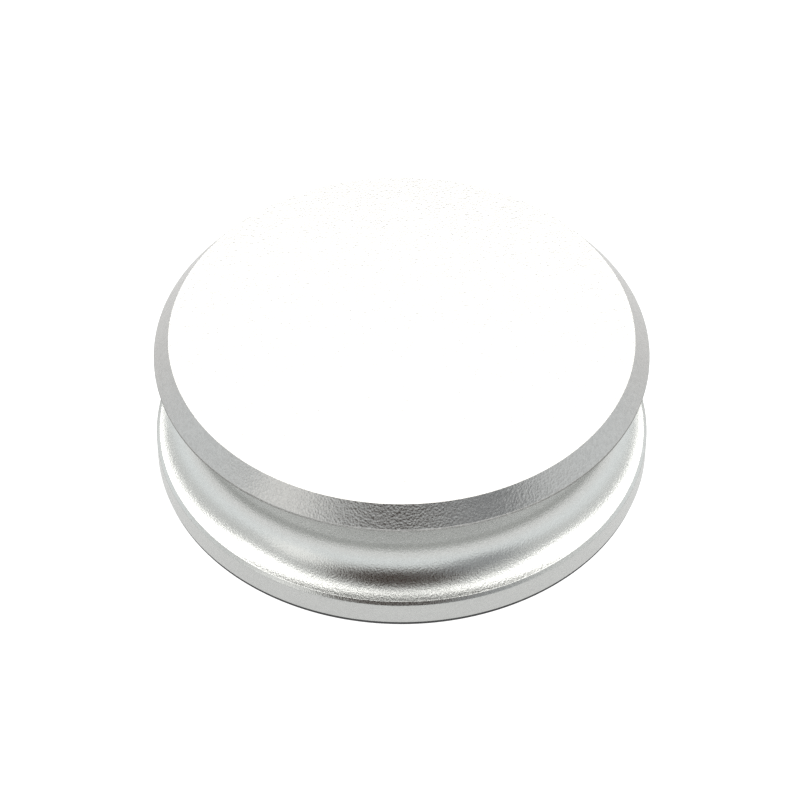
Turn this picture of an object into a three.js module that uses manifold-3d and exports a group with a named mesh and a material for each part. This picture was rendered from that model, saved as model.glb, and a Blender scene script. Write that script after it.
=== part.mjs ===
// A low banding wheel: a round aluminium head that spins freely on a spool-shaped aluminium base.
// The head is screwed to a steel spindle, which runs in two shielded ball bearings in the base's hub.
// Millimetres, +Z up along the spindle. The origin is on the table, under the spindle's centre.
import * as THREE from "three";
import { mergeVertices } from "three/addons/utils/BufferGeometryUtils.js";
import Module from "manifold-3d";

const wasm = await Module();
wasm.setup();

// Driving dimensions
const totalHeight = 36;
const seatGap = 0.05; // between faces that touch
const slipGap = 0.3; // round a screw or spigot in its hole
const turningGap = 0.06; // round the bearings' seats
const overrun = 1; // how far a cut runs past the face it starts from

const head = {
  radius: 57.5,
  faceRadius: 54,
  thickness: 5.5,
  rimHeight: 0.9,
  lowerBreak: 0.2,
  skin: 1.6, // metal left over the screw holes
};
const slipRing = { inner: 49.6, outer: 57.7, thickness: 0.85 };
const base = {
  radius: 58,
  wallTop: 7.3,
  upperBreak: 0.7,
  lowerBreak: 0.2,
  neckRadius: 49,
  coveRadius: 11,
  topGap: 1, // between the base's deck and the head
  cavityRadius: 44,
  deckThickness: 5,
  hubRadius: 18,
  hubBottom: 8.5,
  draft: 0.8, // how far the hub and the cavity's wall lean
  threadDepth: 7,
};
const flangeWell = { clearance: 1.5, depthPastBearing: 0.2 };
const bearingLand = 1.4; // height of the step between the two bearings' seats
const cover = { radius: 47.7, thickness: 2, screwCircle: 42.5, lugRadius: 4.5, screwSink: 0.1 };
const bearing = {
  bore: 7.5,
  outside: 14,
  width: 7,
  spacing: 3,
  pitchRadius: 10.75,
  ballRadius: 1.985,
  balls: 10,
  grooveRadius: 2.1,
  innerLand: 9.4,
  outerLand: 12.1,
};
const cage = { halfThickness: 0.65, halfWidth: 2.7, pocketGap: 0.2 };
const shield = { thickness: 0.3, sink: 0.3, innerGap: 0.25, outerGap: 0.05 };
const flange = { radius: 17, thickness: 2.75, screwCircle: 13.3, spigotRadius: 6, spigotHeight: 1.35 };
const shoulder = { radius: 9.2, height: 0.75 };
const journal = { endBreak: 0.4, sink: 0.15 };
const spacer = { outer: 9.2 };
const washer = { inner: 3.1, outer: 10.2, thickness: 1.5 };
const screw = {
  shankRadius: 1.4,
  headRadius: 2.8,
  headHeight: 1.5,
  lip: 0.2, // the head's upright edge
  socketAcross: 2,
  socketDepth: 1.1,
};
const flangeScrewLength = 6;
const coverScrewLength = 8;
const bolt = {
  shankRadius: 2.6,
  headAcross: 10,
  headHeight: 4,
  length: 14,
  faceBreak: 0.3, // how far the head's face stops short of its flats
  cornerReach: 0.9, // how far its corners pass them
};
const screwsInCircle = 4;

// Heights worked out from the driving dimensions
const headBottom = totalHeight - head.thickness;
const deckTop = headBottom - base.topGap;
const flangeBottom = headBottom - seatGap - flange.thickness;
const shoulderBottom = flangeBottom - shoulder.height;
const halfBearing = bearing.width / 2;
const upperBearingTop = shoulderBottom - seatGap;
const upperBearingMiddle = upperBearingTop - halfBearing;
const lowerBearingMiddle = upperBearingMiddle - bearing.width - bearing.spacing;
const betweenTop = upperBearingMiddle - halfBearing - seatGap;
const betweenBottom = lowerBearingMiddle + halfBearing + seatGap;
const spindleBottom = lowerBearingMiddle - halfBearing + journal.sink;
const washerTop = lowerBearingMiddle - halfBearing - seatGap;
const boltHeadTop = washerTop - washer.thickness - seatGap;
const baseBottom = slipRing.thickness + seatGap;
const coverLedge = baseBottom + cover.thickness + seatGap;
const coverScrewBottom = baseBottom + cover.screwSink;

// Facets round each size of part
const wideFacets = 64;
const narrowFacets = 32;
const screwFacets = 12;
const coveSteps = 4;
const grooveSteps = 2;

const finish = (color, roughness, metalness) =>
  new THREE.MeshStandardMaterial({ color, roughness, metalness });
const aluminium = finish(0xd6d8d8, 0.35, 1);
const spindleSteel = finish(0x9a9da0, 0.3, 1);
const bearingSteel = finish(0xc4c7ca, 0.15, 1);
const cageSteel = finish(0xb4b0a6, 0.4, 1);
const zincScrew = finish(0xa9adb2, 0.3, 1);
const rubber = finish(0x1b1b1c, 0.85, 0);

// A closed manifold-3d solid from a three.js geometry.
function solidFrom(geometry) {
  const bare = geometry.clone();
  bare.deleteAttribute("normal");
  bare.deleteAttribute("uv");
  const merged = mergeVertices(bare, 1e-4);
  const corners = merged.index.array;
  const kept = [];
  for (let i = 0; i < corners.length; i += 3) {
    const [a, b, c] = corners.slice(i, i + 3);
    if (a !== b && b !== c && c !== a) kept.push(a, b, c);
  }
  return new wasm.Manifold(
    new wasm.Mesh({
      numProp: 3,
      vertProperties: merged.attributes.position.array,
      triVerts: new Uint32Array(kept),
    }),
  );
}

// A three.js geometry from a manifold-3d solid.
function geometryFrom(solid) {
  const { numProp, vertProperties, triVerts } = solid.getMesh();
  const geometry = new THREE.BufferGeometry();
  const interleaved = new THREE.InterleavedBuffer(vertProperties, numProp);
  geometry.setAttribute("position", new THREE.InterleavedBufferAttribute(interleaved, 3, 0));
  geometry.setIndex(new THREE.BufferAttribute(triVerts, 1));
  const plain = geometry.toNonIndexed();
  plain.computeVertexNormals();
  return plain;
}

// Turns a closed outline of THREE.Vector2(radius, height) points about +Z.
const turnedPoints = (points, facets) =>
  solidFrom(new THREE.LatheGeometry(points, facets).rotateX(Math.PI / 2));

// The same for a list of [radius, height] corners: one that starts off the axis is closed on itself.
function turned(corners, facets) {
  const points = corners.map(([r, z]) => new THREE.Vector2(r, z));
  if (points[0].x > 0) points.push(points[0].clone());
  return turnedPoints(points, facets);
}

const tube = (inner, outer, low, high, facets) =>
  turned([[inner, low], [outer, low], [outer, high], [inner, high]], facets);

const rod = (radius, low, high, facets) =>
  turned([[0, low], [radius, low], [radius, high], [0, high]], facets);

// A hexagonal bar: six facets, and the radius of its corners from the size across its flats.
const hexBar = (across, low, high) => rod(across / Math.sqrt(3), low, high, 6);

// Calls make(x, y, number) for each place round a circle.
function roundCircle(count, radius, make) {
  return Array.from({ length: count }, (_, i) => {
    const angle = (i * 2 * Math.PI) / count;
    return make(radius * Math.cos(angle), radius * Math.sin(angle), i + 1);
  });
}

const atScrews = (radius, make) => roundCircle(screwsInCircle, radius, make);

function piece(name, solid, material) {
  const mesh = new THREE.Mesh(solid instanceof THREE.BufferGeometry ? solid : geometryFrom(solid), material);
  mesh.name = name;
  return mesh;
}

// A countersunk screw with its head's face down at z = 0 and its shank up.
function countersunkScrew(length) {
  const { shankRadius, headRadius, headHeight, lip, socketAcross, socketDepth } = screw;
  const body = turned(
    [
      [0, 0],
      [headRadius, 0],
      [headRadius, lip],
      [shankRadius, headHeight],
      [shankRadius, length],
      [0, length],
    ],
    screwFacets,
  );
  return body.subtract(hexBar(socketAcross, -overrun, socketDepth));
}

// The countersunk hole for it, through a plate of that thickness and past both its faces.
function countersunkHole(thickness) {
  const shank = screw.shankRadius + slipGap;
  const face = screw.headRadius + slipGap;
  const [low, high] = [-overrun, thickness + overrun];
  return turned(
    [[0, low], [face, low], [face, screw.lip], [shank, screw.headHeight], [shank, high], [0, high]],
    screwFacets,
  );
}

// The drilled hole for a screw's thread, up from just under a face.
const threadHole = (radius, face, top) => rod(radius + slipGap, face - overrun, top, screwFacets);

// Head: a disc with a bevelled edge over a thin upright rim
function wheelHead() {
  const rimTop = headBottom + head.rimHeight;
  const disc = turned(
    [
      [0, headBottom],
      [head.radius - head.lowerBreak, headBottom],
      [head.radius, headBottom + head.lowerBreak],
      [head.radius, rimTop],
      [head.faceRadius, totalHeight],
      [0, totalHeight],
    ],
    wideFacets,
  );
  const recessTop = headBottom + flange.spigotHeight + slipGap;
  const spigotRecess = rod(flange.spigotRadius + slipGap, headBottom - overrun, recessTop, narrowFacets);
  const thread = threadHole(screw.shankRadius, headBottom, totalHeight - head.skin);
  const holes = atScrews(flange.screwCircle, (x, y) => thread.translate([x, y, 0]));
  return wasm.Manifold.difference([disc, spigotRecess, ...holes]);
}

// Spindle: a flange under the head, a shoulder, and a journal with a threaded hole in its lower end
function spindleBody() {
  const flangeTop = flangeBottom + flange.thickness;
  const journalRadius = bearing.bore - turningGap;
  const turning = turned(
    [
      [0, spindleBottom],
      [journalRadius - journal.endBreak, spindleBottom],
      [journalRadius, spindleBottom + journal.endBreak],
      [journalRadius, shoulderBottom],
      [shoulder.radius, shoulderBottom],
      [shoulder.radius, flangeBottom],
      [flange.radius, flangeBottom],
      [flange.radius, flangeTop],
      [flange.spigotRadius, flangeTop],
      [flange.spigotRadius, flangeTop + flange.spigotHeight],
      [0, flangeTop + flange.spigotHeight],
    ],
    narrowFacets,
  );
  const thread = threadHole(bolt.shankRadius, spindleBottom, spindleBottom + bolt.length);
  const hole = countersunkHole(flange.thickness);
  const holes = atScrews(flange.screwCircle, (x, y) => hole.translate([x, y, flangeBottom]));
  return wasm.Manifold.difference([turning, thread, ...holes]);
}

// Base: a spool with a round cove from its wall up to its neck, hollow, with a hub under its deck
function baseBody() {
  const { radius, wallTop, upperBreak, lowerBreak, neckRadius, coveRadius, cavityRadius, draft } = base;
  const coveCentre = neckRadius + coveRadius;
  const coveStart = -Math.acos((radius - upperBreak - coveCentre) / coveRadius);
  const coveHeight = wallTop - coveRadius * Math.sin(coveStart);
  const seatRadius = bearing.outside + turningGap;
  const landRadius = bearing.outside - bearingLand;
  const wellRadius = flange.radius + flangeWell.clearance;
  const wellFloor = upperBearingTop - flangeWell.depthPastBearing;
  const deckBottom = deckTop - base.deckThickness;
  const coverWell = cover.radius + slipGap;

  const outline = new THREE.Path();
  outline.moveTo(coverWell, baseBottom);
  outline.lineTo(radius - lowerBreak, baseBottom);
  outline.lineTo(radius, baseBottom + lowerBreak);
  outline.lineTo(radius, wallTop - upperBreak);
  outline.absarc(coveCentre, coveHeight, coveRadius, coveStart, -Math.PI, true);
  outline.lineTo(neckRadius, deckTop - upperBreak);
  outline.lineTo(neckRadius - upperBreak, deckTop);
  outline.lineTo(wellRadius, deckTop);
  outline.lineTo(wellRadius, wellFloor);
  outline.lineTo(seatRadius, wellFloor);
  outline.lineTo(seatRadius, betweenTop);
  outline.lineTo(landRadius, betweenTop);
  outline.lineTo(landRadius, betweenBottom);
  outline.lineTo(seatRadius, betweenBottom);
  outline.lineTo(seatRadius, base.hubBottom);
  outline.lineTo(base.hubRadius, base.hubBottom);
  outline.lineTo(base.hubRadius + draft, deckBottom);
  outline.lineTo(cavityRadius - draft, deckBottom);
  outline.lineTo(cavityRadius, coverLedge);
  outline.lineTo(coverWell, coverLedge);
  outline.closePath();

  const lug = rod(cover.lugRadius, coverLedge, deckBottom + overrun, screwFacets);
  const lugs = atScrews(cover.screwCircle, (x, y) => lug.translate([x, y, 0]));
  const thread = threadHole(screw.shankRadius, coverLedge, coverLedge + base.threadDepth);
  const threads = atScrews(cover.screwCircle, (x, y) => thread.translate([x, y, 0]));
  const shell = wasm.Manifold.union([turnedPoints(outline.getPoints(coveSteps), wideFacets), ...lugs]);
  return wasm.Manifold.difference([shell, ...threads]);
}

// Cover: a plate let into the bottom of the base, with a countersunk hole for each of its screws
function bottomCover() {
  const disc = rod(cover.radius, baseBottom, baseBottom + cover.thickness, wideFacets);
  const hole = countersunkHole(cover.thickness);
  const holes = atScrews(cover.screwCircle, (x, y) => hole.translate([x, y, coverScrewBottom]));
  return wasm.Manifold.difference([disc, ...holes]);
}

// A hexagon bolt hanging head down, its head's top face at z = 0 and its shank above it.
function hexBolt() {
  const { shankRadius, headAcross, headHeight, length, faceBreak, cornerReach } = bolt;
  const face = headAcross / 2 - faceBreak;
  const corner = headAcross / 2 + cornerReach;
  const bar = hexBar(headAcross, -headHeight, 0);
  const chamfer = turned(
    [[0, -headHeight], [face, -headHeight], [corner, 1 - headHeight], [corner, 0], [0, 0]],
    screwFacets,
  );
  return bar.intersect(chamfer).add(rod(shankRadius, -overrun, length - 1, screwFacets));
}

// A bearing ring with a ball groove in its land: side is 1 for an outer ring, -1 for an inner ring.
function race(land, edge, side) {
  const { pitchRadius, grooveRadius } = bearing;
  const halfArc = Math.acos(Math.abs(land - pitchRadius) / grooveRadius);
  const middleAngle = side > 0 ? 0 : Math.PI;
  const outline = new THREE.Path();
  outline.moveTo(edge, -side * halfBearing);
  outline.lineTo(edge, side * halfBearing);
  outline.lineTo(land, side * halfBearing);
  outline.absarc(pitchRadius, 0, grooveRadius, middleAngle + halfArc, middleAngle - halfArc, true);
  outline.lineTo(land, -side * halfBearing);
  outline.closePath();
  return turnedPoints(outline.getPoints(grooveSteps), narrowFacets);
}

// Cage: a band round the ball circle with a round pocket for each ball
function cageBand() {
  const { halfThickness, halfWidth, pocketGap } = cage;
  const [inner, outer] = [bearing.pitchRadius - halfThickness, bearing.pitchRadius + halfThickness];
  const band = tube(inner, outer, -halfWidth, halfWidth, narrowFacets);
  const pocketRadius = bearing.ballRadius + pocketGap;
  const pocket = rod(pocketRadius, inner - overrun, outer + overrun, screwFacets).rotate([0, 90, 0]);
  const pockets = roundCircle(bearing.balls, 1, (x, y) =>
    pocket.rotate([0, 0, THREE.MathUtils.radToDeg(Math.atan2(y, x))]),
  );
  return wasm.Manifold.difference([band, ...pockets]);
}

// One shielded ball bearing, centred on the origin of its own group.
function ballBearing(place, middle) {
  const shieldFace = halfBearing - shield.sink;
  const shieldInner = bearing.innerLand + shield.innerGap;
  const shieldOuter = bearing.outerLand - shield.outerGap;
  const topShield = tube(shieldInner, shieldOuter, shieldFace - shield.thickness, shieldFace, narrowFacets);
  const ball = new THREE.IcosahedronGeometry(bearing.ballRadius, 1);
  const balls = roundCircle(bearing.balls, bearing.pitchRadius, (x, y, number) => {
    const made = piece(`${place}_bearing_ball_${number}`, ball, bearingSteel);
    made.position.set(x, y, 0);
    return made;
  });
  const group = new THREE.Group();
  group.position.z = middle;
  group.add(
    piece(`${place}_bearing_inner_ring`, race(bearing.innerLand, bearing.bore, -1), bearingSteel),
    piece(`${place}_bearing_outer_ring`, race(bearing.outerLand, bearing.outside, 1), bearingSteel),
    piece(`${place}_bearing_cage`, cageBand(), cageSteel),
    piece(`${place}_bearing_top_shield`, topShield, bearingSteel),
    piece(`${place}_bearing_bottom_shield`, topShield.mirror([0, 0, 1]), bearingSteel),
    ...balls,
  );
  return group;
}

// What turns with the head
const turningParts = new THREE.Group();
const spacerTube = tube(bearing.bore + seatGap, spacer.outer, betweenBottom, betweenTop, narrowFacets);
const washerDisc = tube(washer.inner, washer.outer, washerTop - washer.thickness, washerTop, narrowFacets);
const retainingBolt = piece("retaining_bolt", hexBolt(), zincScrew);
retainingBolt.position.z = boltHeadTop;
turningParts.add(
  piece("wheel_head", wheelHead(), aluminium),
  piece("spindle", spindleBody(), spindleSteel),
  piece("inner_ring_spacer", spacerTube, spindleSteel),
  piece("retaining_washer", washerDisc, zincScrew),
  retainingBolt,
);

// What stands still
const standingParts = new THREE.Group();
const ring = tube(slipRing.inner, slipRing.outer, 0, slipRing.thickness, wideFacets);
standingParts.add(
  piece("base_body", baseBody(), aluminium),
  piece("bottom_cover", bottomCover(), aluminium),
  piece("non_slip_ring", ring, rubber),
);

// The screws stand head down: the flange's under the head, the cover's under the base.
atScrews(flange.screwCircle, (x, y, number) => {
  const made = piece(`flange_screw_${number}`, countersunkScrew(flangeScrewLength), zincScrew);
  made.position.set(x, y, flangeBottom);
  turningParts.add(made);
});
atScrews(cover.screwCircle, (x, y, number) => {
  const made = piece(`cover_screw_${number}`, countersunkScrew(coverScrewLength), zincScrew);
  made.position.set(x, y, coverScrewBottom);
  standingParts.add(made);
});

const bandingWheel = new THREE.Group();
bandingWheel.add(
  turningParts,
  standingParts,
  ballBearing("upper", upperBearingMiddle),
  ballBearing("lower", lowerBearingMiddle),
);
export default bandingWheel;
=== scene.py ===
import math

import bpy
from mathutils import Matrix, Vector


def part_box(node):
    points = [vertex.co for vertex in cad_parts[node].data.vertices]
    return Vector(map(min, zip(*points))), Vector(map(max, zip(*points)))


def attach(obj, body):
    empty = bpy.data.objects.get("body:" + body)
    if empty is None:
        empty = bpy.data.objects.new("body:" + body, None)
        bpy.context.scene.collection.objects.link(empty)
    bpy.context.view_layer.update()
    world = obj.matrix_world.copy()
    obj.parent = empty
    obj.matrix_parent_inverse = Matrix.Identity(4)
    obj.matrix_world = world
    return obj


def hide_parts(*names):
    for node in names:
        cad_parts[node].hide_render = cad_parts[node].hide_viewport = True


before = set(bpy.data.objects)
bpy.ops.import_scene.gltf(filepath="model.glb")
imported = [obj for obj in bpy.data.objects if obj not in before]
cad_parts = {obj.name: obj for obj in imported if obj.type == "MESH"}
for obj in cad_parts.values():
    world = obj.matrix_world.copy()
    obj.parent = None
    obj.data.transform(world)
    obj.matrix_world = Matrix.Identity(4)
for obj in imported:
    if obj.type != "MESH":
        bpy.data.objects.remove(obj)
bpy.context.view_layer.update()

# A low banding wheel turned from aluminium. Lengths in the dictionaries are in millimetres.
mm = 0.001


def selectNothing():
    if bpy.context.mode != "OBJECT":
        bpy.ops.object.mode_set(mode="OBJECT")
    bpy.ops.object.select_all(action="DESELECT")


def selectOnly(piece):
    selectNothing()
    piece.select_set(True)
    bpy.context.view_layer.objects.active = piece


def useModifier(piece, kind, **settings):
    selectOnly(piece)
    modifier = piece.modifiers.new(kind.title(), kind)
    for key, value in settings.items():
        setattr(modifier, key, value)
    bpy.ops.object.modifier_apply(modifier=modifier.name)


def arc(centre, radius, start, end, steps):
    # corners of an arc, angles in degrees, both ends included
    turns = [math.radians(start + (end - start) * i / steps) for i in range(steps + 1)]
    return [(centre[0] + radius * math.cos(t), centre[1] + radius * math.sin(t)) for t in turns]


def turnOutline(name, outline, facets, centre=(0, 0)):
    # A ring of edges is drawn out to each corner (radius, height) in turn. An outline that starts
    # on the axis is filled at both ends, and any other ends on the ring it started from.
    closed = outline[0][0] > 0
    corners = [(radius * mm, height * mm) for radius, height in (outline if closed else outline[1:-1])]
    axis = (centre[0] * mm, centre[1] * mm)
    radius, height = corners[0]
    selectNothing()
    bpy.ops.mesh.primitive_circle_add(
        vertices=facets, radius=radius, fill_type="NOTHING" if closed else "NGON", location=(*axis, height))
    piece = bpy.context.active_object
    piece.name = piece.data.name = name
    bpy.ops.object.mode_set(mode="EDIT")
    bpy.ops.mesh.select_mode(type="EDGE")
    bpy.ops.mesh.select_all(action="SELECT")
    for nextRadius, nextHeight in corners[1:] + corners[:1] * closed:
        bpy.ops.mesh.extrude_edges_move(TRANSFORM_OT_translate={"value": (0, 0, nextHeight - height)})
        share = nextRadius / radius
        if share != 1:
            bpy.ops.transform.resize(value=(share, share, 1), center_override=(*axis, nextHeight))
        radius, height = nextRadius, nextHeight
    if not closed:
        bpy.ops.mesh.edge_face_add()
    bpy.ops.mesh.select_all(action="SELECT")
    bpy.ops.mesh.remove_doubles(threshold=mm / 1000)
    bpy.ops.mesh.normals_make_consistent(inside=False)
    bpy.ops.object.mode_set(mode="OBJECT")
    bpy.ops.object.transform_apply(location=True, rotation=True, scale=True)
    return piece


def breakEdges(piece, width, segments=2, over=25):
    useModifier(piece, "BEVEL", width=width * mm, segments=segments, limit_method="ANGLE",
                angle_limit=math.radians(over))


def combine(piece, other, operation):
    useModifier(piece, "BOOLEAN", object=other, operation=operation, solver="EXACT")
    bpy.data.objects.remove(other)


def smooth(piece, angle=32):
    selectOnly(piece)
    bpy.ops.object.shade_smooth_by_angle(angle=math.radians(angle))
    useModifier(piece, "WEIGHTED_NORMAL", keep_sharp=True)


def turnMesh(piece, angle, axis):
    selectOnly(piece)
    bpy.ops.object.mode_set(mode="EDIT")
    bpy.ops.mesh.select_all(action="SELECT")
    bpy.ops.transform.rotate(value=math.radians(angle), orient_axis=axis, center_override=(0, 0, 0))
    bpy.ops.object.mode_set(mode="OBJECT")


def copyTo(piece, name, shift=(0, 0, 0), turn=0):
    # a copy with its own mesh, moved by shift (mm) after a turn (degrees) about the wheel's axis
    selectOnly(piece)
    bpy.ops.object.duplicate()
    made = bpy.context.active_object
    made.name = made.data.name = name
    if turn:
        turnMesh(made, turn, "Z")
    selectOnly(made)
    bpy.ops.object.mode_set(mode="EDIT")
    bpy.ops.mesh.select_all(action="SELECT")
    bpy.ops.transform.translate(value=[s * mm for s in shift])
    bpy.ops.object.mode_set(mode="OBJECT")
    return made


def finish(piece, material, body, slotName, *nodes):
    piece.data.materials.clear()
    piece.data.materials.append(material)
    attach(piece, body)
    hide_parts(*nodes)


def heights(node):
    # lowest and highest point of a CAD node, and how far it reaches from the axis, in mm
    low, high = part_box(node)
    return low.z / mm, high.z / mm, high.x / mm


def middleOf(node):
    low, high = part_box(node)
    return (low + high) / 2 / mm


def newGroup(name, inputs, outputs):
    group = bpy.data.node_groups.new(name, "ShaderNodeTree")
    for label, kind, value in inputs:
        socket = group.interface.new_socket(name=label, in_out="INPUT", socket_type=kind)
        socket.default_value = value
    for label, kind in outputs:
        group.interface.new_socket(name=label, in_out="OUTPUT", socket_type=kind)
    return group, group.nodes.new("NodeGroupInput"), group.nodes.new("NodeGroupOutput")


def addNode(tree, kind, links=(), **settings):
    # links: (socket name or number, value or another node's output)
    node = tree.nodes.new(kind)
    for key, value in settings.items():
        setattr(node, key, value)
    for socket, value in links:
        if isinstance(value, bpy.types.NodeSocket):
            tree.links.new(value, node.inputs[socket])
        else:
            node.inputs[socket].default_value = value
    return node


def math2(tree, operation, first, second=0.0, clamp=False):
    node = addNode(tree, "ShaderNodeMath", [(0, first), (1, second)], operation=operation, use_clamp=clamp)
    return node.outputs[0]


def mapRange(tree, value, low, high, top=1.0):
    # 0 at low, rising to top at high
    node = addNode(tree, "ShaderNodeMapRange", [
        ("Value", value), ("From Min", low), ("From Max", high), ("To Max", top)])
    return node.outputs[0]


def swingOf(tree, value, amount):
    # a 0-to-1 pattern turned into a swing of half the amount to each side of nought
    return math2(tree, "MULTIPLY", math2(tree, "SUBTRACT", value, 0.5), amount)


blastedPattern = {"patchesPerMetre": 55.0, "patchSwing": 0.05, "roughSwing": 0.22, "dimpleHeight": 0.6,
                  "fineHeight": 0.8}


def buildBlastedGrain():
    # bead blasting: packed dimples, each catching the light its own way
    group, given, out = newGroup(
        "blastedGrain",
        [("Colour", "NodeSocketColor", (0.6, 0.6, 0.6, 1)), ("Roughness", "NodeSocketFloat", 0.3),
         ("Grains per metre", "NodeSocketFloat", 4000.0), ("Fleck", "NodeSocketFloat", 0.1)],
        [("Colour", "NodeSocketColor"), ("Roughness", "NodeSocketFloat"), ("Height", "NodeSocketFloat")])
    place = addNode(group, "ShaderNodeTexCoord").outputs["Object"]
    scale = given.outputs["Grains per metre"]
    grains = addNode(group, "ShaderNodeTexVoronoi", [("Vector", place), ("Scale", scale)])
    fine = addNode(group, "ShaderNodeTexNoise", [
        ("Vector", place), ("Scale", scale), ("Detail", 3.0), ("Roughness", 0.6)]).outputs["Fac"]
    broad = addNode(group, "ShaderNodeTexNoise", [
        ("Vector", place), ("Scale", blastedPattern["patchesPerMetre"]), ("Detail", 2.0)]).outputs["Fac"]
    chance = addNode(group, "ShaderNodeSeparateColor", [("Color", grains.outputs["Color"])]).outputs["Red"]
    swing = swingOf(group, chance, given.outputs["Fleck"])
    drift = swingOf(group, broad, blastedPattern["patchSwing"])
    light = math2(group, "ADD", math2(group, "ADD", swing, drift), 1.0)
    colour = addNode(group, "ShaderNodeVectorMath", [(0, given.outputs["Colour"]), ("Scale", light)],
                     operation="SCALE")
    uneven = swingOf(group, fine, blastedPattern["roughSwing"])
    rough = math2(group, "ADD", given.outputs["Roughness"], uneven)
    rough = math2(group, "ADD", rough, drift, clamp=True)
    dimples = math2(group, "MULTIPLY", grains.outputs["Distance"], blastedPattern["dimpleHeight"])
    height = math2(group, "ADD", dimples, math2(group, "MULTIPLY", fine, blastedPattern["fineHeight"]))
    group.links.new(colour.outputs["Vector"], out.inputs["Colour"])
    group.links.new(rough, out.inputs["Roughness"])
    group.links.new(height, out.inputs["Height"])
    return group


def buildEdgeWear():
    # a mask of the sharp outer edges, broken up as rubbing leaves them
    group, given, out = newGroup(
        "edgeWear", [("Amount", "NodeSocketFloat", 1.0), ("Breakup per metre", "NodeSocketFloat", 900.0)],
        [("Mask", "NodeSocketFloat")])
    edge = addNode(group, "ShaderNodeNewGeometry").outputs["Pointiness"]
    raised = mapRange(group, edge, 0.53, 0.62)
    place = addNode(group, "ShaderNodeTexCoord").outputs["Object"]
    patches = addNode(group, "ShaderNodeTexNoise", [
        ("Vector", place), ("Scale", given.outputs["Breakup per metre"]), ("Detail", 2.0)])
    broken = mapRange(group, patches.outputs["Fac"], 0.35, 0.6)
    mask = math2(group, "MULTIPLY", raised, broken)
    group.links.new(math2(group, "MULTIPLY", mask, given.outputs["Amount"], clamp=True), out.inputs["Mask"])
    return group


def buildHandlingMarks():
    # soft smears where fingers and cloths have passed
    group, given, out = newGroup(
        "handlingMarks", [("Smears per metre", "NodeSocketFloat", 35.0), ("Amount", "NodeSocketFloat", 0.05)],
        [("Offset", "NodeSocketFloat")])
    place = addNode(group, "ShaderNodeTexCoord").outputs["Object"]
    stretched = addNode(group, "ShaderNodeMapping", [
        ("Vector", place), ("Rotation", (0.3, 0.2, 0.7)), ("Scale", (1.0, 2.4, 1.0))])
    smears = addNode(group, "ShaderNodeTexNoise", [
        ("Vector", stretched.outputs[0]), ("Scale", given.outputs["Smears per metre"]),
        ("Detail", 4.0), ("Distortion", 0.8)])
    group.links.new(swingOf(group, smears.outputs["Fac"], given.outputs["Amount"]), out.inputs["Offset"])
    return group


def buildTurningLines():
    # the fine spiral a lathe tool leaves, on faces and on bores
    group, given, out = newGroup(
        "turningLines", [("Lines per metre", "NodeSocketFloat", 6000.0)],
        [("Height", "NodeSocketFloat"), ("Shade", "NodeSocketFloat")])
    place = addNode(group, "ShaderNodeTexCoord").outputs["Object"]
    parts = addNode(group, "ShaderNodeSeparateXYZ", [("Vector", place)])
    flat = addNode(group, "ShaderNodeCombineXYZ", [("X", parts.outputs["X"]), ("Y", parts.outputs["Y"])])
    reach = addNode(group, "ShaderNodeVectorMath", [(0, flat.outputs[0])], operation="LENGTH")
    track = addNode(group, "ShaderNodeCombineXYZ", [("X", reach.outputs["Value"]), ("Y", parts.outputs["Z"])])
    lines = addNode(group, "ShaderNodeTexNoise", [
        ("Vector", track.outputs[0]), ("Scale", given.outputs["Lines per metre"]), ("Detail", 2.0)],
        noise_dimensions="2D")
    bands = addNode(group, "ShaderNodeTexNoise", [
        ("Vector", track.outputs[0]), ("Scale", 400.0), ("Detail", 1.0)], noise_dimensions="2D")
    group.links.new(lines.outputs["Fac"], out.inputs["Height"])
    group.links.new(bands.outputs["Fac"], out.inputs["Shade"])
    return group


effects = {
    "grain": buildBlastedGrain(), "wear": buildEdgeWear(),
    "marks": buildHandlingMarks(), "lines": buildTurningLines(),
}


def newFinish(name, **sockets):
    material = bpy.data.materials.new(name)
    material.use_nodes = True
    tree = material.node_tree
    shader = tree.nodes["Principled BSDF"]
    for label, value in sockets.items():
        shader.inputs[label.replace("_", " ")].default_value = value
    return material, tree, shader


def placeEffect(tree, effect, **values):
    node = addNode(tree, "ShaderNodeGroup", node_tree=effects[effect])
    for label, value in values.items():
        node.inputs[label.replace("_", " ")].default_value = value
    return node


def blendColour(tree, factor, first, second):
    node = addNode(tree, "ShaderNodeMix", data_type="RGBA")
    for socket, value in ((0, factor), (6, first), (7, second)):
        if isinstance(value, bpy.types.NodeSocket):
            tree.links.new(value, node.inputs[socket])
        else:
            node.inputs[socket].default_value = value
    return node.outputs[2]


def bump(tree, shader, height, strength, depth):
    node = addNode(tree, "ShaderNodeBump", [
        ("Strength", strength), ("Distance", depth * mm), ("Height", height)])
    tree.links.new(node.outputs["Normal"], shader.inputs["Normal"])


# bead-blasted and clear anodised: the head a shade darker and coarser than the base
blastedHead = {"colour": (0.495, 0.49, 0.482, 1), "bare": (0.68, 0.68, 0.67, 1), "roughness": 0.25,
               "grainsPerMetre": 1900.0, "fleck": 0.12, "bumpStrength": 0.7, "bumpDepth": 0.075}
blastedBase = {"colour": (0.635, 0.64, 0.628, 1), "bare": (0.75, 0.75, 0.745, 1), "roughness": 0.27,
               "grainsPerMetre": 2300.0, "fleck": 0.07, "bumpStrength": 0.5, "bumpDepth": 0.06}


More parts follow.
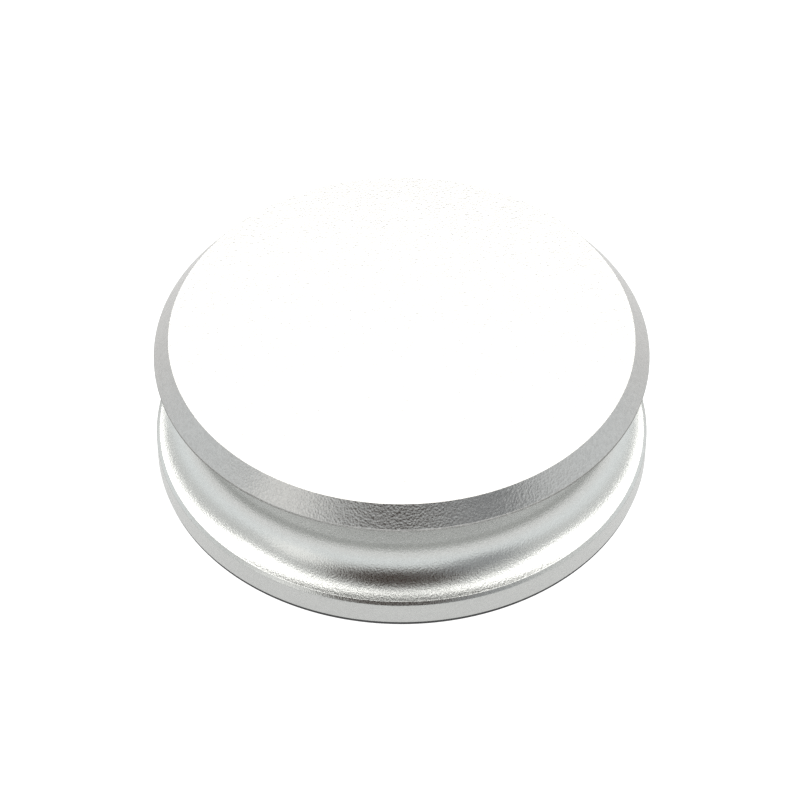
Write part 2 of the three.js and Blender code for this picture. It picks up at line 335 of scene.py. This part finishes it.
def makeBlastedAluminium(name, blasted):
    material, tree, shader = newFinish(name, Metallic=1.0)
    grain = placeEffect(tree, "grain", Colour=blasted["colour"], Roughness=blasted["roughness"],
                        Grains_per_metre=blasted["grainsPerMetre"], Fleck=blasted["fleck"])
    wear = placeEffect(tree, "wear", Amount=0.5)
    marks = placeEffect(tree, "marks", Amount=0.06)
    colour = blendColour(tree, wear.outputs["Mask"], grain.outputs["Colour"], blasted["bare"])
    rough = math2(tree, "ADD", grain.outputs["Roughness"], marks.outputs["Offset"], clamp=True)
    tree.links.new(colour, shader.inputs["Base Color"])
    tree.links.new(rough, shader.inputs["Roughness"])
    bump(tree, shader, grain.outputs["Height"], blasted["bumpStrength"], blasted["bumpDepth"])
    return material


def makeMachinedSteel(name, pale, dark, roughness, lines, depth):
    # steel off the lathe or grinder: colour bands and fine lines round the axis
    material, tree, shader = newFinish(name, Metallic=1.0)
    turned = placeEffect(tree, "lines", Lines_per_metre=lines)
    marks = placeEffect(tree, "marks", Amount=0.12, Smears_per_metre=120.0)
    wear = placeEffect(tree, "wear", Amount=0.6)
    colourBand = blendColour(tree, turned.outputs["Shade"], dark, pale)
    colour = blendColour(tree, wear.outputs["Mask"], colourBand, (0.8, 0.8, 0.8, 1))
    tree.links.new(colour, shader.inputs["Base Color"])
    swing = math2(tree, "MULTIPLY", turned.outputs["Height"], roughness * 0.6)
    rough = math2(tree, "ADD", swing, roughness * 0.7)
    tree.links.new(math2(tree, "ADD", rough, marks.outputs["Offset"], clamp=True), shader.inputs["Roughness"])
    bump(tree, shader, turned.outputs["Height"], 0.35, depth)
    return material


def makeCageSteel():
    material, tree, shader = newFinish("cageSteel", Metallic=1.0)
    grain = placeEffect(tree, "grain", Colour=(0.5, 0.47, 0.42, 1), Roughness=0.42, Grains_per_metre=9000.0,
                        Fleck=0.14)
    wear = placeEffect(tree, "wear", Amount=0.7)
    colour = blendColour(tree, wear.outputs["Mask"], grain.outputs["Colour"], (0.7, 0.68, 0.64, 1))
    tree.links.new(colour, shader.inputs["Base Color"])
    tree.links.new(grain.outputs["Roughness"], shader.inputs["Roughness"])
    bump(tree, shader, grain.outputs["Height"], 0.3, 0.01)
    return material


def makeZincPlate():
    # bright zinc, with a faint blue and straw cast from one patch to the next
    material, tree, shader = newFinish("zincPlate", Metallic=1.0)
    place = addNode(tree, "ShaderNodeTexCoord").outputs["Object"]
    patches = addNode(tree, "ShaderNodeTexNoise", [("Vector", place), ("Scale", 420.0), ("Detail", 3.0)])
    cast = addNode(tree, "ShaderNodeValToRGB", [("Fac", patches.outputs["Fac"])])
    blue, straw = cast.color_ramp.elements
    blue.position, blue.color = 0.3, (0.52, 0.56, 0.62, 1)
    straw.position, straw.color = 0.7, (0.66, 0.64, 0.58, 1)
    wear = placeEffect(tree, "wear", Amount=0.8, Breakup_per_metre=2500.0)
    marks = placeEffect(tree, "marks", Amount=0.14, Smears_per_metre=300.0)
    colour = blendColour(tree, wear.outputs["Mask"], cast.outputs["Color"], (0.75, 0.75, 0.76, 1))
    rough = math2(tree, "ADD", marks.outputs["Offset"], 0.27, clamp=True)
    tree.links.new(colour, shader.inputs["Base Color"])
    tree.links.new(rough, shader.inputs["Roughness"])
    bump(tree, shader, patches.outputs["Fac"], 0.25, 0.02)
    return material


def makeRubber():
    # black moulded rubber with dust in its fine texture and paler, rubbed edges
    material, tree, shader = newFinish("gripRubber", Metallic=0.0, Specular_IOR_Level=0.35)
    grain = placeEffect(tree, "grain", Colour=(0.055, 0.055, 0.057, 1), Roughness=0.72,
                        Grains_per_metre=5200.0, Fleck=0.35)
    wear = placeEffect(tree, "wear", Amount=0.6)
    place = addNode(tree, "ShaderNodeTexCoord").outputs["Object"]
    dust = addNode(tree, "ShaderNodeTexNoise", [
        ("Vector", place), ("Scale", 260.0), ("Detail", 5.0), ("Roughness", 0.65)])
    dusty = mapRange(tree, dust.outputs["Fac"], 0.48, 0.85, 0.35)
    pale = math2(tree, "MAXIMUM", dusty, wear.outputs["Mask"])
    colour = blendColour(tree, pale, grain.outputs["Colour"], (0.16, 0.157, 0.15, 1))
    rough = math2(tree, "ADD", grain.outputs["Roughness"], 0.06, clamp=True)
    tree.links.new(colour, shader.inputs["Base Color"])
    tree.links.new(rough, shader.inputs["Roughness"])
    bump(tree, shader, grain.outputs["Height"], 0.5, 0.04)
    return material


headAluminium = makeBlastedAluminium("headAluminium", blastedHead)
baseAluminium = makeBlastedAluminium("baseAluminium", blastedBase)
spindleSteel = makeMachinedSteel("spindleSteel", pale=(0.52, 0.53, 0.54, 1), dark=(0.4, 0.41, 0.42, 1),
                                 roughness=0.3, lines=5000.0, depth=0.01)
bearingSteel = makeMachinedSteel("bearingSteel", pale=(0.68, 0.69, 0.7, 1), dark=(0.58, 0.59, 0.6, 1),
                                 roughness=0.16, lines=12000.0, depth=0.004)
cageSteel = makeCageSteel()
zincPlate = makeZincPlate()
gripRubber = makeRubber()
print("finishes made:", len(bpy.data.materials), "materials")


screwCircle = {"count": 4, "flange": 13.3, "cover": 42.5}

# how far a cutter starts outside the metal, how a drill flares at the face, and its tip
cutter = {"start": 1, "flare": 1.3, "flareDepth": 0.3, "tipHeight": 0.9, "tipFlat": 0.1, "facets": 48}


def places(radius, count=screwCircle["count"]):
    # centres round a circle, from +X on, in mm
    turns = [2 * math.pi * i / count for i in range(count)]
    return [(radius * math.cos(t), radius * math.sin(t)) for t in turns]


def threadDrill(radius, face, top, centre):
    # a drill with a coned tip, and a countersink where it enters the face
    start, tip = face - cutter["start"], top + cutter["tipHeight"]
    return turnOutline("drill", [
        (0, start), (radius + cutter["flare"], start), (radius, face + cutter["flareDepth"]), (radius, top),
        (cutter["tipFlat"], tip), (0, tip)], cutter["facets"], centre)


# a disc with a bevel over a thin upright rim
headDisc = {"facets": 256, "faceRadius": 54, "rimHeight": 0.9, "lowerBreak": 0.2, "spigotRecess": (6.3, 1.65),
            "threadRadius": 1.7, "threadTop": 34.1, "edgeRound": 0.1}


def makeHeadDisc():
    bottom, top, radius = heights("wheel_head")
    recessRadius, recessDepth = headDisc["spigotRecess"]
    lowerBreak = headDisc["lowerBreak"]
    disc = turnOutline("headDisc", [
        (0, bottom + recessDepth), (recessRadius, bottom + recessDepth), (recessRadius, bottom),
        (radius - lowerBreak, bottom), (radius, bottom + lowerBreak),
        (radius, bottom + headDisc["rimHeight"]), (headDisc["faceRadius"], top), (0, top)],
        headDisc["facets"])
    breakEdges(disc, headDisc["edgeRound"], segments=3)
    for centre in places(screwCircle["flange"]):
        drill = threadDrill(headDisc["threadRadius"], bottom, headDisc["threadTop"], centre)
        combine(disc, drill, "DIFFERENCE")
    smooth(disc)
    finish(disc, headAluminium, "head", "anodised_aluminium", "wheel_head")


makeHeadDisc()
print("head disc turned")

# a spool with a round cove, hollow inside, with a hub for the bearings
spoolBase = {"facets": 256, "wallTop": 7.3, "upperBreak": 0.7, "lowerBreak": 0.2, "neckRadius": 49,
             "coveRadius": 11, "coveSteps": 32,
             "cavityRadius": 44, "deckThickness": 5, "hubRadius": 18, "hubBottom": 8.5, "draft": 0.8,
             "coverGap": 0.3, "ledgeGap": 0.05, "boreRadius": 14.06, "landRadius": 12.6, "landGap": 0.05,
             "wellRadius": 18.5, "wellDepth": 0.2, "lugRadius": 4.5, "lugRoot": 1, "lugFacets": 48,
             "threadRadius": 1.7, "threadDepth": 7, "edgeRound": 0.09}


def makeSpoolBase():
    size = spoolBase
    bottom, deckTop, radius = heights("base_body")
    _, coverTop, coverRadius = heights("bottom_cover")
    upperBottom, upperTop, _ = heights("upper_bearing_outer_ring")
    lowerTop = heights("lower_bearing_outer_ring")[1]
    ledge = coverTop + size["ledgeGap"]
    coverWell = coverRadius + size["coverGap"]
    wellFloor = upperTop - size["wellDepth"]
    deckBottom = deckTop - size["deckThickness"]
    landTop, landBottom = upperBottom - size["landGap"], lowerTop + size["landGap"]
    wall, edge, draft = size["wallTop"], size["upperBreak"], size["draft"]
    coveRadius = size["coveRadius"]
    coveCentre = size["neckRadius"] + coveRadius
    coveStart = -math.acos((radius - edge - coveCentre) / coveRadius)
    coveHeight = wall - coveRadius * math.sin(coveStart)
    cove = arc((coveCentre, coveHeight), coveRadius, math.degrees(coveStart), -180, size["coveSteps"])
    outline = [
        (coverWell, bottom), (radius - size["lowerBreak"], bottom), (radius, bottom + size["lowerBreak"]),
        (radius, wall - edge), *cove,
        (size["neckRadius"], deckTop - edge), (size["neckRadius"] - edge, deckTop),
        (size["wellRadius"], deckTop), (size["wellRadius"], wellFloor), (size["boreRadius"], wellFloor),
        (size["boreRadius"], landTop), (size["landRadius"], landTop), (size["landRadius"], landBottom),
        (size["boreRadius"], landBottom), (size["boreRadius"], size["hubBottom"]),
        (size["hubRadius"], size["hubBottom"]), (size["hubRadius"] + draft, deckBottom),
        (size["cavityRadius"] - draft, deckBottom), (size["cavityRadius"], ledge), (coverWell, ledge)]
    spool = turnOutline("spoolBase", outline, size["facets"])
    breakEdges(spool, size["edgeRound"], segments=3)
    lugRadius, lugTop = size["lugRadius"], deckBottom + size["lugRoot"]
    for centre in places(screwCircle["cover"]):
        lug = turnOutline("lug", [(0, ledge), (lugRadius, ledge), (lugRadius, lugTop), (0, lugTop)],
                          size["lugFacets"], centre)
        combine(spool, lug, "UNION")
        drill = threadDrill(size["threadRadius"], ledge, ledge + size["threadDepth"], centre)
        combine(spool, drill, "DIFFERENCE")
    smooth(spool)
    finish(spool, baseAluminium, "base", "anodised_aluminium", "base_body")


makeSpoolBase()
print("spool base turned")

bottomCover = {"facets": 192, "edgeRound": 0.15, "holeFace": 3.1, "holeShank": 1.7, "countersink": 1.5,
               "sink": 0.1, "flare": 1.1, "flareDepth": 0.15, "holeFacets": 64}


def makeBottomCover():
    bottom, top, radius = heights("bottom_cover")
    size = bottomCover
    cover = turnOutline("bottomCover", [(0, bottom), (radius, bottom), (radius, top), (0, top)],
                        size["facets"])
    breakEdges(cover, size["edgeRound"], segments=3)
    sink = bottom + size["sink"]
    face, shank = size["holeFace"], size["holeShank"]
    start, end = bottom - cutter["start"], top + cutter["start"]
    for centre in places(screwCircle["cover"]):
        drill = turnOutline("drill", [
            (0, start), (face + size["flare"], start), (face, sink + size["flareDepth"]),
            (shank, sink + size["countersink"]), (shank, end), (0, end)], size["holeFacets"], centre)
        combine(cover, drill, "DIFFERENCE")
    smooth(cover)
    finish(cover, baseAluminium, "base", "anodised_aluminium", "bottom_cover")


# a flat rubber ring with two shallow grooves underneath
nonSlipRing = {"facets": 192, "inner": 49.6, "grooves": (51.6, 55.6), "grooveHalf": 0.35, "grooveDepth": 0.25,
               "edgeRound": 0.12}


def makeNonSlipRing():
    bottom, top, outer = heights("non_slip_ring")
    outline = [(nonSlipRing["inner"], bottom)]
    for middle in nonSlipRing["grooves"]:
        half, depth = nonSlipRing["grooveHalf"], nonSlipRing["grooveDepth"]
        outline += [(middle - half, bottom), (middle - half / 2, bottom + depth),
                    (middle + half / 2, bottom + depth), (middle + half, bottom)]
    ring = turnOutline("nonSlipRing", outline + [(outer, bottom), (outer, top), (nonSlipRing["inner"], top)],
                       nonSlipRing["facets"])
    breakEdges(ring, nonSlipRing["edgeRound"])
    smooth(ring)
    finish(ring, gripRubber, "base", "rubber", "non_slip_ring")


makeBottomCover()
makeNonSlipRing()
print("bottom cover and non-slip ring made")

socketScrew = {"facets": 48, "shank": 1.4, "head": 2.8, "headHeight": 1.5, "lip": 0.2, "socketAcross": 2.0,
               "socketDepth": 1.1, "tipBreak": 0.4, "edgeRound": 0.06}


def hexKey(name, across, low, high, centre=(0, 0)):
    corner = across / math.sqrt(3)
    return turnOutline(name, [(0, low), (corner, low), (corner, high), (0, high)], 6, centre)


def makeSocketScrew(name, node):
    # a countersunk screw, head down, with a hexagon socket
    bottom, top, _ = heights(node)
    centre = middleOf(node)[:2]
    size = socketScrew
    head, shank, tip = size["head"], size["shank"], size["tipBreak"]
    screw = turnOutline(name, [
        (0, bottom), (head, bottom), (head, bottom + size["lip"]), (shank, bottom + size["headHeight"]),
        (shank, top - tip), (shank - tip, top), (0, top)], size["facets"], centre)
    breakEdges(screw, size["edgeRound"])
    socket = hexKey("socket", size["socketAcross"], bottom - cutter["start"], bottom + size["socketDepth"],
                    centre)
    combine(screw, socket, "DIFFERENCE")
    smooth(screw)
    return screw


for kind, body in (("flange", "head"), ("cover", "base")):
    first = makeSocketScrew(f"{kind}Screw1", f"{kind}_screw_1")
    for number in range(2, screwCircle["count"] + 1):
        turned = copyTo(first, f"{kind}Screw{number}",
                        middleOf(f"{kind}_screw_{number}") - middleOf(f"{kind}_screw_1"))
        finish(turned, zincPlate, body, "zinc_fastener", f"{kind}_screw_{number}")
    finish(first, zincPlate, body, "zinc_fastener", f"{kind}_screw_1")

retainingBolt = {"shank": 2.6, "headAcross": 10.0, "headHeight": 4.0, "washerFace": 4.7,
                 "washerFaceHeight": 0.15, "endFlat": 2.2, "endBreak": 0.3, "cornerReach": 0.9,
                 "cornerHeight": 0.75, "faceRoot": 1, "tipBreak": 0.5, "edgeRound": 0.06,
                 "chamferFacets": 96, "shankFacets": 64}


def makeRetainingBolt():
    bottom, top, _ = heights("retaining_bolt")
    size = retainingBolt
    headTop = bottom + size["headHeight"]
    bolt = hexKey("retainingBolt", size["headAcross"], bottom, headTop - size["washerFaceHeight"])
    half = size["headAcross"] / 2
    start, corner = bottom - cutter["start"], half + size["cornerReach"]
    chamfer = turnOutline("chamfer", [
        (0, start), (half - size["endFlat"], start), (half - size["endBreak"], bottom),
        (corner, bottom + size["cornerHeight"]), (corner, headTop), (0, headTop)], size["chamferFacets"])
    combine(bolt, chamfer, "INTERSECT")
    face, radius, tip = size["washerFace"], size["shank"], size["tipBreak"]
    root = headTop - size["faceRoot"]
    shank = turnOutline("shank", [
        (0, root), (face, root), (face, headTop), (radius, headTop), (radius, top - tip),
        (radius - tip, top), (0, top)], size["shankFacets"])
    combine(bolt, shank, "UNION")
    breakEdges(bolt, size["edgeRound"], over=30)
    smooth(bolt)
    finish(bolt, zincPlate, "head", "zinc_fastener", "retaining_bolt")


makeRetainingBolt()
print("screws and bolt made")

spindleTurned = {"facets": 128, "journal": 7.44, "endBreak": 0.4, "shoulder": 9.2, "spigot": 6.0,
                 "spigotHeight": 1.35, "flangeThickness": 2.75, "shoulderHeight": 0.75, "threadRadius": 2.9,
                 "threadDepth": 14, "edgeRound": 0.08, "tipHeight": 1.5, "tipFlat": 0.1, "holeFace": 3.1,
                 "holeShank": 1.7, "flare": 0.9, "flareDepth": 0.2, "countersink": 1.5, "holeFacets": 64}


def makeSpindle():
    bottom, top, radius = heights("spindle")
    size = spindleTurned
    flangeTop = top - size["spigotHeight"]
    flangeBottom = flangeTop - size["flangeThickness"]
    shoulderBottom = flangeBottom - size["shoulderHeight"]
    threadTop = bottom + size["threadDepth"]
    tip = threadTop + size["tipHeight"]
    journal, shoulder, thread = size["journal"], size["shoulder"], size["threadRadius"]
    spindle = turnOutline("spindleTurned", [
        (0, tip), (size["tipFlat"], tip), (thread, threadTop), (thread, bottom),
        (journal - size["endBreak"], bottom), (journal, bottom + size["endBreak"]),
        (journal, shoulderBottom), (shoulder, shoulderBottom), (shoulder, flangeBottom),
        (radius, flangeBottom), (radius, flangeTop), (size["spigot"], flangeTop), (size["spigot"], top),
        (0, top)], size["facets"])
    breakEdges(spindle, size["edgeRound"])
    face, shank = size["holeFace"], size["holeShank"]
    start, end = flangeBottom - cutter["start"], flangeTop + cutter["start"]
    for centre in places(screwCircle["flange"]):
        drill = turnOutline("drill", [
            (0, start), (face + size["flare"], start), (face, flangeBottom + size["flareDepth"]),
            (shank, flangeBottom + size["countersink"]), (shank, end), (0, end)], size["holeFacets"], centre)
        combine(spindle, drill, "DIFFERENCE")
    smooth(spindle)
    finish(spindle, spindleSteel, "head", "spindle_steel", "spindle")


sleeve = {"facets": 96, "spacerBore": 7.55, "spacerRound": 0.15, "washerBore": 3.1, "washerRound": 0.2}


def makeSleeve(name, node, inner, edgeRound, material, slotName):
    bottom, top, outer = heights(node)
    piece = turnOutline(name, [(inner, bottom), (outer, bottom), (outer, top), (inner, top)],
                        sleeve["facets"])
    breakEdges(piece, edgeRound, segments=3)
    smooth(piece)
    finish(piece, material, "head", slotName, node)


makeSpindle()
makeSleeve("spacerSleeve", "inner_ring_spacer", sleeve["spacerBore"], sleeve["spacerRound"],
           spindleSteel, "spindle_steel")
makeSleeve("retainingWasher", "retaining_washer", sleeve["washerBore"], sleeve["washerRound"],
           zincPlate, "zinc_fastener")
print("spindle, spacer and washer turned")

ballBearing = {"facets": 128, "pitch": 10.75, "groove": 2.1, "ball": 1.985, "balls": 10, "innerLand": 9.4,
               "outerLand": 12.1, "bore": 7.5, "cornerRound": 0.3, "grooveSteps": 14, "shieldInner": 9.65,
               "cageInner": 10.1, "cageOuter": 11.4, "pocket": 2.185, "raceEdge": 0.06, "shieldLip": 0.5,
               "shieldStep": 0.7, "shieldEdge": 0.03, "cageEdge": 0.1, "cageFacets": 120, "pocketFacets": 40,
               "ballCuts": 11}


def makeRace(name, node, land, edge, body):
    # a ring with a ball groove in its land, which faces the balls
    bottom, top, _ = heights(node)
    middle = (bottom + top) / 2
    side = 1 if edge > land else -1
    half = math.degrees(math.acos(abs(land - ballBearing["pitch"]) / ballBearing["groove"]))
    aim = 0 if side > 0 else 180
    groove = arc((ballBearing["pitch"], middle), ballBearing["groove"], aim + half, aim - half,
                 ballBearing["grooveSteps"])
    near, far = (bottom, top) if side > 0 else (top, bottom)
    corner = side * ballBearing["cornerRound"]
    race = turnOutline(name, [
        (edge, near + corner), (edge, far - corner), (edge - corner, far), (land, far), *groove,
        (land, near), (edge - corner, near)], ballBearing["facets"])
    breakEdges(race, ballBearing["raceEdge"])
    smooth(race)
    finish(race, bearingSteel, body, "bearing_steel", node)


def makeShield(name, node):
    # a pressed disc with a step, closing the gap between the rings
    bottom, top, outer = heights(node)
    inner, step = ballBearing["shieldInner"], (top - bottom) / 3
    shield = turnOutline(name, [
        (inner, bottom), (outer, bottom), (outer, top), (outer - ballBearing["shieldLip"], top),
        (outer - ballBearing["shieldStep"], top - step), (inner, top - step)], ballBearing["facets"])
    breakEdges(shield, ballBearing["shieldEdge"])
    smooth(shield)
    finish(shield, bearingSteel, "base", "bearing_steel", node)


def makeCage(name, node, body):
    # a band with a round pocket for each ball; each cutter goes right across and cuts two
    bottom, top, _ = heights(node)
    size = ballBearing
    inner, outer, radius = size["cageInner"], size["cageOuter"], size["pocket"]
    cage = turnOutline(name, [(inner, bottom), (outer, bottom), (outer, top), (inner, top)],
                       size["cageFacets"])
    breakEdges(cage, size["cageEdge"])
    reach = outer + cutter["start"]
    pocket = turnOutline("pocket", [(0, -reach), (radius, -reach), (radius, reach), (0, reach)],
                         size["pocketFacets"])
    turnMesh(pocket, 90, "Y")
    for number in range(size["balls"] // 2):
        turn = 360 * number / size["balls"]
        cut = copyTo(pocket, "pocketCut", (0, 0, (bottom + top) / 2), turn)
        combine(cage, cut, "DIFFERENCE")
    bpy.data.objects.remove(pocket)
    smooth(cage)
    finish(cage, cageSteel, body, "cage_steel", node)


def makeBall(name, node):
    # a cube, cut fine and drawn out to a sphere
    centre = middleOf(node)
    selectNothing()
    bpy.ops.mesh.primitive_cube_add(size=2 * ballBearing["ball"] * mm, location=centre * mm)
    ball = bpy.context.active_object
    ball.name = ball.data.name = name
    bpy.ops.object.mode_set(mode="EDIT")
    bpy.ops.mesh.select_all(action="SELECT")
    bpy.ops.mesh.subdivide(number_cuts=ballBearing["ballCuts"])
    bpy.ops.transform.tosphere(value=1.0)
    bpy.ops.object.mode_set(mode="OBJECT")
    bpy.ops.object.transform_apply(location=True, rotation=True, scale=True)
    return ball


for where in ("upper", "lower"):
    bore, outer = ballBearing["bore"], heights(f"{where}_bearing_outer_ring")[2]
    makeRace(f"{where}InnerRing", f"{where}_bearing_inner_ring", ballBearing["innerLand"], bore, "head")
    makeRace(f"{where}OuterRing", f"{where}_bearing_outer_ring", ballBearing["outerLand"], outer, "base")
    makeShield(f"{where}TopShield", f"{where}_bearing_top_shield")
    makeShield(f"{where}BottomShield", f"{where}_bearing_bottom_shield")
    makeCage(f"{where}Cage", f"{where}_bearing_cage", f"{where}_cage")
    for number in range(1, ballBearing["balls"] + 1):
        node = f"{where}_bearing_ball_{number}"
        ball = makeBall(f"{where}Ball{number}", node)
        smooth(ball, angle=60)
        finish(ball, bearingSteel, f"{where}_ball_{number}", "bearing_steel", node)
    print(where, "bearing made")

# a pale floor and a pale room, white wherever the camera looks straight at them
studio = {"floorSize": 6.0, "floorGlow": 0.62, "floorGlowSeen": 1.0, "floorColour": (0.25, 0.25, 0.25, 1),
          "roomLow": (1.02, 1.06, 1.07, 1), "roomHigh": (0.72, 0.73, 0.72, 1), "roomSeen": (1, 1, 1, 1),
          "lowBand": 0.26, "highBand": 0.42}


def seenOr(tree, seen, unseen):
    # one number for what the camera sees itself, another for light and reflections
    path = addNode(tree, "ShaderNodeLightPath").outputs["Is Camera Ray"]
    return math2(tree, "ADD", unseen, math2(tree, "MULTIPLY", path, seen - unseen))


def makeFloor():
    # from below it is clear, so that the underside can be looked at
    selectNothing()
    bpy.ops.mesh.primitive_plane_add(size=studio["floorSize"], location=(0, 0, 0))
    floor = bpy.context.active_object
    floor.name = floor.data.name = "paleFloor"
    material = bpy.data.materials.new("paleFloor")
    material.use_nodes = True
    tree = material.node_tree
    tree.nodes.clear()
    glow = addNode(tree, "ShaderNodeEmission", [
        ("Strength", seenOr(tree, studio["floorGlowSeen"], studio["floorGlow"]))])
    matt = addNode(tree, "ShaderNodeBsdfDiffuse", [("Color", studio["floorColour"])])
    lit = addNode(tree, "ShaderNodeAddShader", [(0, glow.outputs[0]), (1, matt.outputs[0])])
    clear = addNode(tree, "ShaderNodeBsdfTransparent")
    below = addNode(tree, "ShaderNodeNewGeometry").outputs["Backfacing"]
    both = addNode(tree, "ShaderNodeMixShader", [(0, below), (1, lit.outputs[0]), (2, clear.outputs[0])])
    addNode(tree, "ShaderNodeOutputMaterial", [("Surface", both.outputs[0])])
    floor.data.materials.append(material)


def makeRoom():
    # a paler band runs round the room just above the floor
    world = bpy.data.worlds.new("paleRoom")
    world.use_nodes = True
    tree = world.node_tree
    direction = addNode(tree, "ShaderNodeTexCoord").outputs["Generated"]
    height = addNode(tree, "ShaderNodeSeparateXYZ", [("Vector", direction)]).outputs["Z"]
    upper = mapRange(tree, height, studio["lowBand"], studio["highBand"])
    wall = blendColour(tree, upper, studio["roomLow"], studio["roomHigh"])
    path = addNode(tree, "ShaderNodeLightPath").outputs["Is Camera Ray"]
    seen = blendColour(tree, path, wall, studio["roomSeen"])
    tree.links.new(seen, tree.nodes["Background"].inputs["Color"])
    bpy.context.scene.world = world
    bpy.context.scene.view_settings.view_transform = "Standard"


# a broad warm soft box lying over the wheel, from behind it to a little in front
softBox = {"place": (0.08, 0.54, 1.0), "width": 2.1, "depth": 1.62, "glow": 2.02,
           "colour": (1.0, 0.985, 0.955)}


def makeSoftBox():
    lamp = bpy.data.lights.new("softBox", "AREA")
    lamp.shape, lamp.size, lamp.size_y = "RECTANGLE", softBox["width"], softBox["depth"]
    lamp.energy = math.pi * softBox["glow"] * softBox["width"] * softBox["depth"]
    lamp.color = softBox["colour"]
    light = bpy.data.objects.new("softBox", lamp)
    light.location = softBox["place"]
    light.visible_camera = False
    bpy.context.scene.collection.objects.link(light)


# what the metal reflects round the camera: where each card stands, how wide and high it is (all in
# degrees, seen from the wheel), and its glow
cards = {
    "dimFront": {"azimuth": -2, "elevation": 46, "width": 50, "height": 42,
                 "colour": (0.03, 0.012, 0.004, 1)},
    "dimRight": {"azimuth": 36, "elevation": 29, "width": 34, "height": 32, "colour": (0.33, 0.34, 0.35, 1)},
    "paleLeft": {"azimuth": -48, "elevation": 24, "width": 24, "height": 28, "colour": (1.3, 1.3, 1.27, 1)},
}
cardShape = {"distance": 1.1, "facets": 48}


def lightCard(card, colour):
    # only reflections see it
    material = bpy.data.materials.new(card.name)
    material.use_nodes = True
    tree = material.node_tree
    tree.nodes.clear()
    glow = addNode(tree, "ShaderNodeEmission", [("Color", colour)])
    addNode(tree, "ShaderNodeOutputMaterial", [("Surface", glow.outputs[0])])
    card.data.materials.append(material)
    card.visible_camera = card.visible_diffuse = card.visible_shadow = False


def makeCard(name, azimuth, elevation, width, height, colour):
    # an oval card facing the wheel; azimuth 0 is the camera's side, and it grows to the right
    turn, rise, distance = math.radians(azimuth), math.radians(elevation), cardShape["distance"]
    selectNothing()
    bpy.ops.mesh.primitive_circle_add(
        vertices=cardShape["facets"], radius=distance, fill_type="NGON", location=(0, 0, 0))
    card = bpy.context.active_object
    card.name = card.data.name = name
    card.scale = (math.tan(math.radians(width / 2)), math.tan(math.radians(height / 2)), 1)
    reach = distance * math.cos(rise)
    card.location = (reach * math.sin(turn), -reach * math.cos(turn), distance * math.sin(rise))
    card.rotation_euler = (-card.location).to_track_quat("Z", "Y").to_euler()
    lightCard(card, colour)


# a grey ring lying on the floor round the wheel, seen only in reflections: painted shade standing in for the
# shade on the floor near the wheel, for the neck to reflect
paintedFloorShade = {"inner": 66.5, "outer": 87, "low": 0.1, "high": 0.3, "facets": 96,
            "colour": (0.4, 0.41, 0.395, 1)}


def makePaintedFloorShade():
    inner, outer, low, high = (paintedFloorShade[key] for key in ("inner", "outer", "low", "high"))
    ring = turnOutline("paintedFloorShade", [(inner, low), (outer, low), (outer, high), (inner, high)],
                       paintedFloorShade["facets"])
    # painted shade: a dim grey glow that only reflections see, in place of the floor's shade round the wheel
    lightCard(ring, paintedFloorShade["colour"])


makeFloor()
makeRoom()
makeSoftBox()
for name, card in cards.items():
    makeCard(name, **card)
makePaintedFloorShade()

wheelCamera = {"place": (0, -0.5836, 0.604), "tilt": 44.69, "lens": 158.56, "sensor": 36, "shift": -0.0021,
               "clip": (0.01, 50)}
lens = bpy.data.cameras.new("wheelCamera")
lens.lens, lens.sensor_width, lens.shift_x = (wheelCamera[key] for key in ("lens", "sensor", "shift"))
lens.clip_start, lens.clip_end = wheelCamera["clip"]
camera = bpy.data.objects.new("wheelCamera", lens)
camera.location = wheelCamera["place"]
camera.rotation_euler = (math.radians(wheelCamera["tilt"]), 0, 0)
bpy.context.scene.collection.objects.link(camera)
bpy.context.scene.camera = camera
print("floor, light and camera set")
